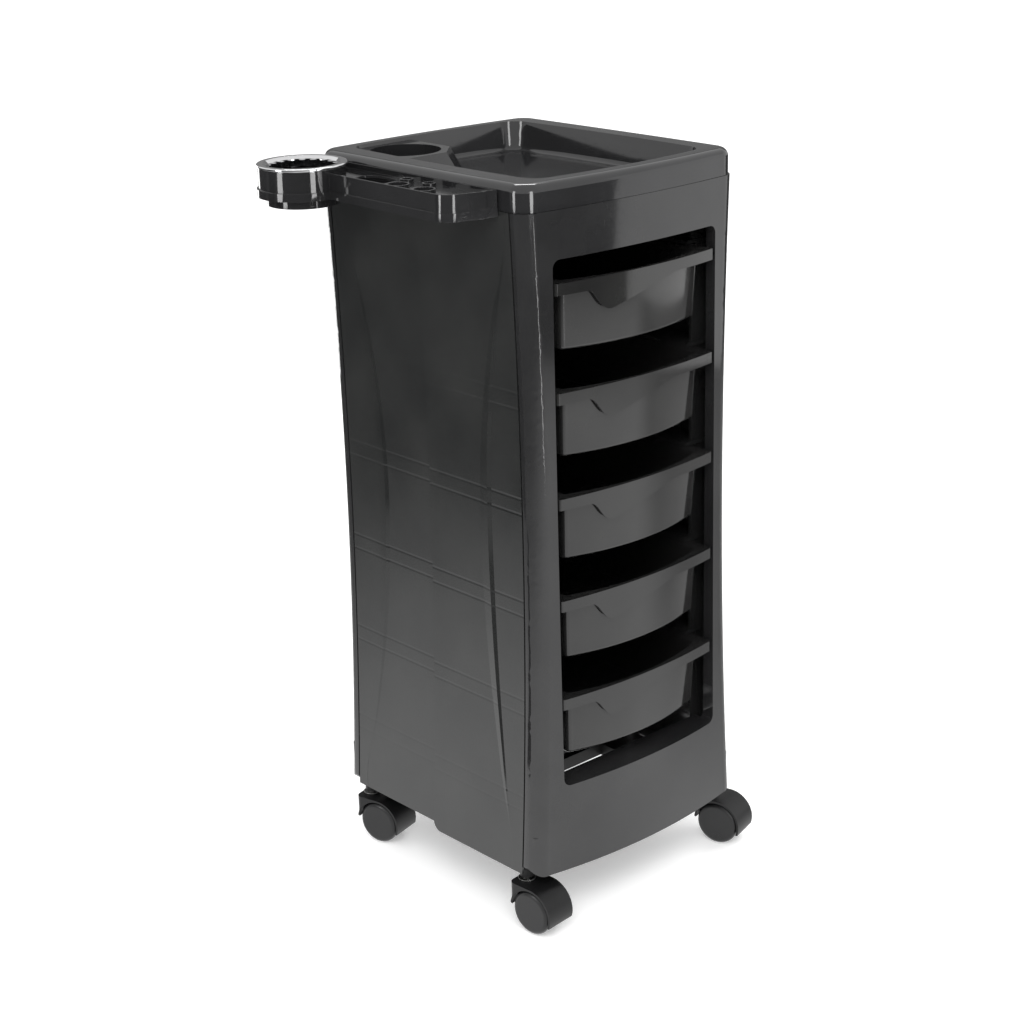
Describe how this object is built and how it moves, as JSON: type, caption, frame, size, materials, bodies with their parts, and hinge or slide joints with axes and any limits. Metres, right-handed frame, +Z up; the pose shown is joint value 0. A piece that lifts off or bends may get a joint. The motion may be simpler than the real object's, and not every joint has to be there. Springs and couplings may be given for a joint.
{
  "type": "salon trolley cart",
  "caption": "Black plastic salon trolley with a waisted body, slide-out drawers, a top tray, a side tool holder with a chrome dryer ring, and hooded twin-wheel casters.",
  "frame": {"origin": "on the floor under the middle of the whole footprint, tool holder and casters included", "axes": "+Z up, the drawers open towards -Y, the tool holder is on the -X side"},
  "size_m": [0.4686, 0.3946, 0.88],
  "materials": {
    "carcass_black": "gloss",
    "tray_black": "gloss",
    "drawer_black": "gloss",
    "base_black": "satin",
    "caster_black": "satin",
    "wheel_black": "satin",
    "chrome": "polished",
    "steel": "zinc plated"
  },
  "bodies": {
    "carcass": {"front_frame": "carcass_black", "back_panel": "carcass_black", "left_side_front": "carcass_black", "left_side_rear": "carcass_black", "right_side_front": "carcass_black", "right_side_rear": "carcass_black", "base_frame": "base_black", "socket_sleeves": "steel", "top_tray": "tray_black", "tool_holder": "tray_black", "holder_ring": "chrome", "base_screws": "steel", "tray_screws": "steel", "holder_screws": "steel"},
    "drawer_1_body": {"drawer_1": "drawer_black"},
    "drawer_2_body": {"drawer_2": "drawer_black"},
    "drawer_3_body": {"drawer_3": "drawer_black"},
    "drawer_4_body": {"drawer_4": "drawer_black"},
    "drawer_5_body": {"drawer_5": "drawer_black"},
    "swivel_front_left": {"caster_front_left_hood": "caster_black", "caster_front_left_stem": "steel", "caster_front_left_washer": "steel", "caster_front_left_axle": "steel"},
    "wheel_front_left_left": {"caster_front_left_wheel_left": "wheel_black"},
    "wheel_front_left_right": {"caster_front_left_wheel_right": "wheel_black"},
    "swivel_front_right": {"caster_front_right_hood": "caster_black", "caster_front_right_stem": "steel", "caster_front_right_washer": "steel", "caster_front_right_axle": "steel"},
    "wheel_front_right_left": {"caster_front_right_wheel_left": "wheel_black"},
    "wheel_front_right_right": {"caster_front_right_wheel_right": "wheel_black"},
    "swivel_rear_left": {"caster_rear_left_hood": "caster_black", "caster_rear_left_stem": "steel", "caster_rear_left_washer": "steel", "caster_rear_left_axle": "steel"},
    "wheel_rear_left_left": {"caster_rear_left_wheel_left": "wheel_black"},
    "wheel_rear_left_right": {"caster_rear_left_wheel_right": "wheel_black"},
    "swivel_rear_right": {"caster_rear_right_hood": "caster_black", "caster_rear_right_stem": "steel", "caster_rear_right_washer": "steel", "caster_rear_right_axle": "steel"},
    "wheel_rear_right_left": {"caster_rear_right_wheel_left": "wheel_black"},
    "wheel_rear_right_right": {"caster_rear_right_wheel_right": "wheel_black"}
  },
  "joints": [
    {"name": "drawer_1_slide", "type": "slide", "parent": "carcass", "child": "drawer_1_body", "axis": [0, -1, 0], "range_m": [0, 0.25]},
    {"name": "drawer_2_slide", "type": "slide", "parent": "carcass", "child": "drawer_2_body", "axis": [0, -1, 0], "range_m": [0, 0.25]},
    {"name": "drawer_3_slide", "type": "slide", "parent": "carcass", "child": "drawer_3_body", "axis": [0, -1, 0], "range_m": [0, 0.25]},
    {"name": "drawer_4_slide", "type": "slide", "parent": "carcass", "child": "drawer_4_body", "axis": [0, -1, 0], "range_m": [0, 0.25]},
    {"name": "drawer_5_slide", "type": "slide", "parent": "carcass", "child": "drawer_5_body", "axis": [0, -1, 0], "range_m": [0, 0.25]},
    {"name": "swivel_front_left", "type": "hinge", "parent": "carcass", "child": "swivel_front_left", "pos_m": [-0.11378, -0.14066, 0.06], "axis": [0, 0, 1], "continuous": true},
    {"name": "spin_front_left_left", "type": "hinge", "parent": "swivel_front_left", "child": "wheel_front_left_left", "pos_m": [-0.11148, -0.16254, 0.027], "axis": [0.9945, 0.1045, 0], "continuous": true},
    {"name": "spin_front_left_right", "type": "hinge", "parent": "swivel_front_left", "child": "wheel_front_left_right", "pos_m": [-0.11148, -0.16254, 0.027], "axis": [0.9945, 0.1045, 0], "continuous": true},
    {"name": "swivel_front_right", "type": "hinge", "parent": "carcass", "child": "swivel_front_right", "pos_m": [0.19422, -0.14066, 0.06], "axis": [0, 0, 1], "continuous": true},
    {"name": "spin_front_right_left", "type": "hinge", "parent": "swivel_front_right", "child": "wheel_front_right_left", "pos_m": [0.20065, -0.1617, 0.027], "axis": [0.9563, 0.2924, 0], "continuous": true},
    {"name": "spin_front_right_right", "type": "hinge", "parent": "swivel_front_right", "child": "wheel_front_right_right", "pos_m": [0.20065, -0.1617, 0.027], "axis": [0.9563, 0.2924, 0], "continuous": true},
    {"name": "swivel_rear_left", "type": "hinge", "parent": "carcass", "child": "swivel_rear_left", "pos_m": [-0.11378, 0.15934, 0.06], "axis": [0, 0, 1], "continuous": true},
    {"name": "spin_rear_left_left", "type": "hinge", "parent": "swivel_rear_left", "child": "wheel_rear_left_left", "pos_m": [-0.10772, 0.13819, 0.027], "axis": [0.9613, 0.2756, 0], "continuous": true},
    {"name": "spin_rear_left_right", "type": "hinge", "parent": "swivel_rear_left", "child": "wheel_rear_left_right", "pos_m": [-0.10772, 0.13819, 0.027], "axis": [0.9613, 0.2756, 0], "continuous": true},
    {"name": "swivel_rear_right", "type": "hinge", "parent": "carcass", "child": "swivel_rear_right", "pos_m": [0.19422, 0.15934, 0.06], "axis": [0, 0, 1], "continuous": true},
    {"name": "spin_rear_right_left", "type": "hinge", "parent": "swivel_rear_right", "child": "wheel_rear_right_left", "pos_m": [0.20317, 0.13924, 0.027], "axis": [0.9135, 0.4067, 0], "continuous": true},
    {"name": "spin_rear_right_right", "type": "hinge", "parent": "swivel_rear_right", "child": "wheel_rear_right_right", "pos_m": [0.20317, 0.13924, 0.027], "axis": [0.9135, 0.4067, 0], "continuous": true}
  ]
}
